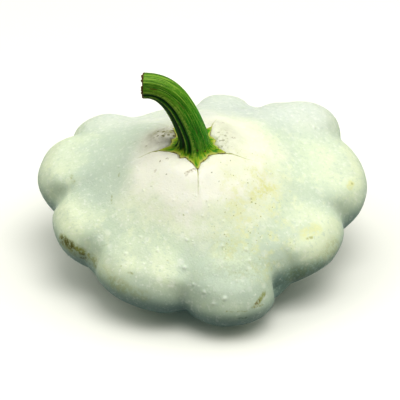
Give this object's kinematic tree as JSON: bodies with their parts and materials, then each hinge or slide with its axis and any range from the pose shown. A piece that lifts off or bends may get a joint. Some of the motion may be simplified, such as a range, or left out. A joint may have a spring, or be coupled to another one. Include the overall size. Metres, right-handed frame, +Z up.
{
  "type": "pattypan squash",
  "caption": "Pale scalloped summer squash with a low domed crown, rounded lobes round its rim and a curved green ridged stem, resting on its underside.",
  "frame": {"origin": "middle of the flat spot of the underside that the fruit rests on", "axes": "+Z up from the surface it rests on; the stem leans 15.5 degrees towards -Y, and its cut end points towards -X"},
  "size_m": [0.1601, 0.144, 0.1056],
  "materials": {
    "waxy_skin": "smooth waxy skin with a soft sheen, cream round the stem and pale green outside it",
    "green_stem": "ridged green stalk, yellow-green at its foot and brown and dry at its cut end"
  },
  "bodies": {
    "root": {"fruit": "waxy_skin", "stem": "green_stem"}
  },
  "joints": []
}
